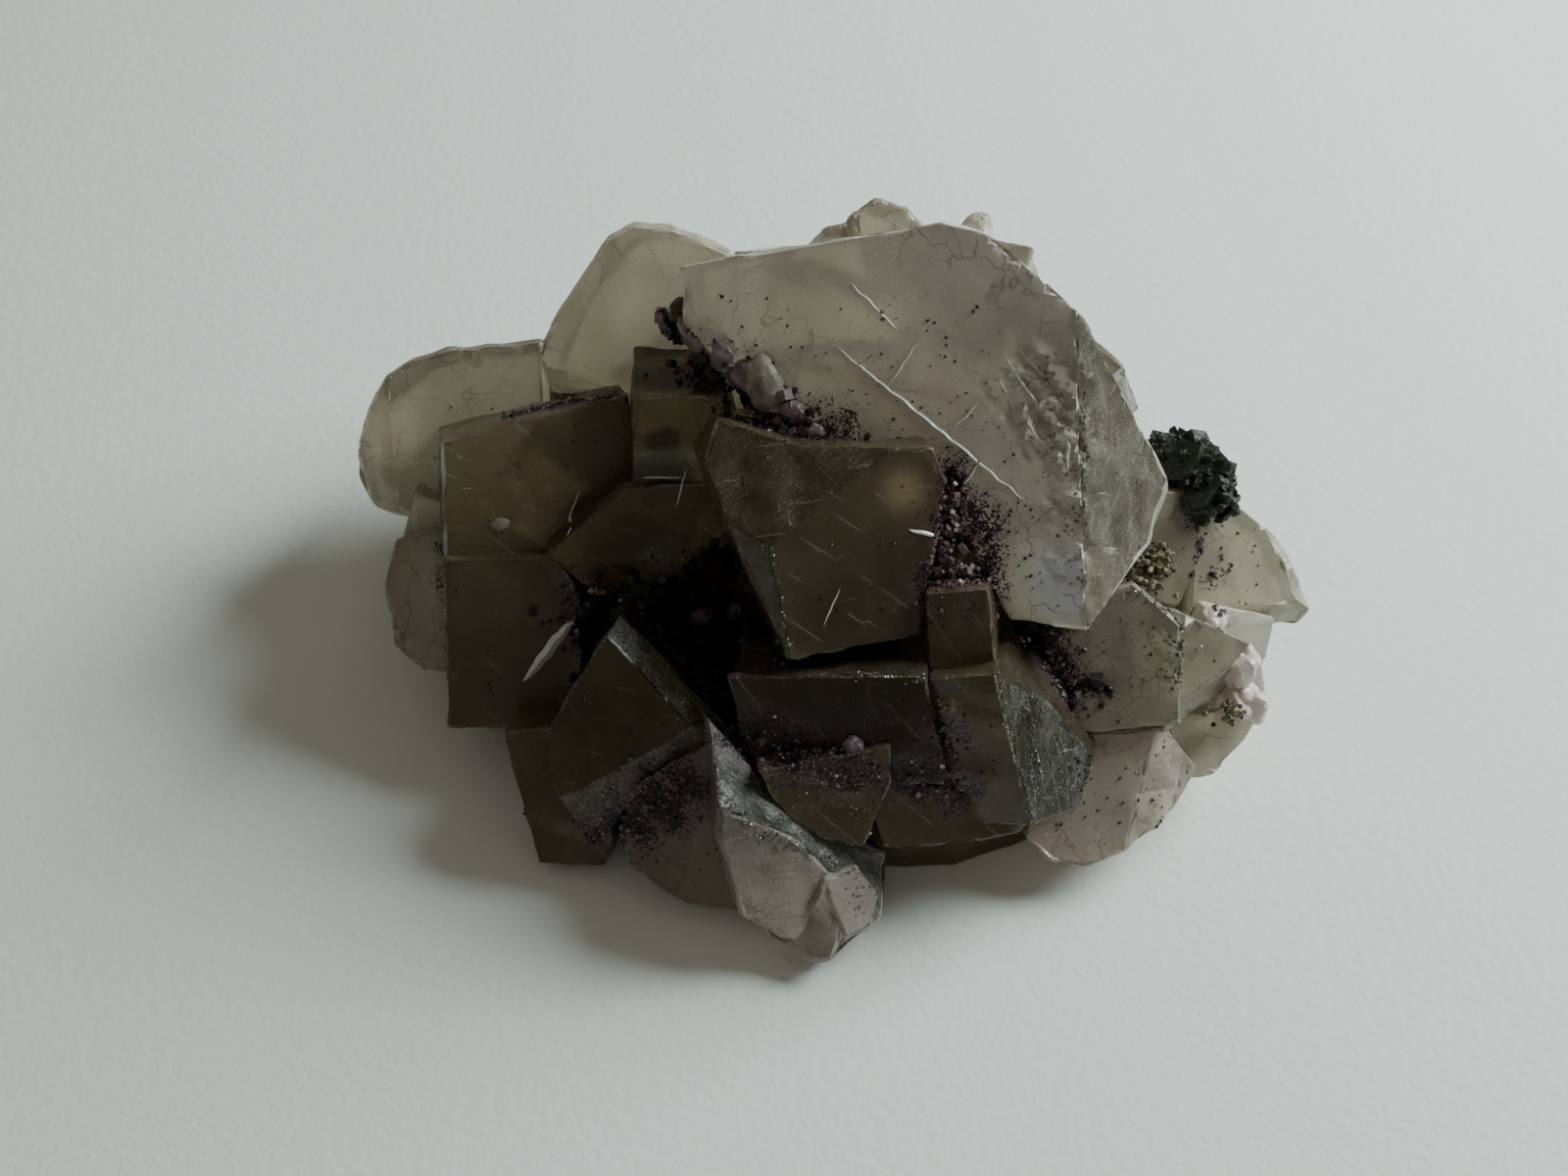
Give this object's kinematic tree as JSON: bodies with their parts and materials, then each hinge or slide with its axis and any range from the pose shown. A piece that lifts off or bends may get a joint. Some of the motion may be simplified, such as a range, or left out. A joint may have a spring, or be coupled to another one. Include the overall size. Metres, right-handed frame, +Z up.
{
  "type": "fluorite crystal cluster",
  "caption": "Cluster of intergrown cubic fluorite crystals, smoky to pale lilac, with dark crusts in its hollows and a lump of sphalerite; rests on a flat underside.",
  "frame": {"origin": "on the flat underside, below the middle of the cluster", "axes": "+X along the longest extent, to the right when the showy side is in front; +Y away from the showy side; +Z up"},
  "size_m": [0.1009, 0.0832, 0.0529],
  "materials": {
    "fluorite": "cloudy, satin to glossy crystal faces",
    "sphalerite": "blackish, resinous sparkle on small faces",
    "ochre": "dull, earthy",
    "crust": "dark purple-black, granular"
  },
  "bodies": {
    "root": {"fluorite": "fluorite", "sphalerite": "sphalerite", "ochre_grains": "ochre", "hollow_crust": "crust", "crown_crust": "crust", "seam_crust": "crust", "ledge_crust": "crust"}
  },
  "joints": []
}
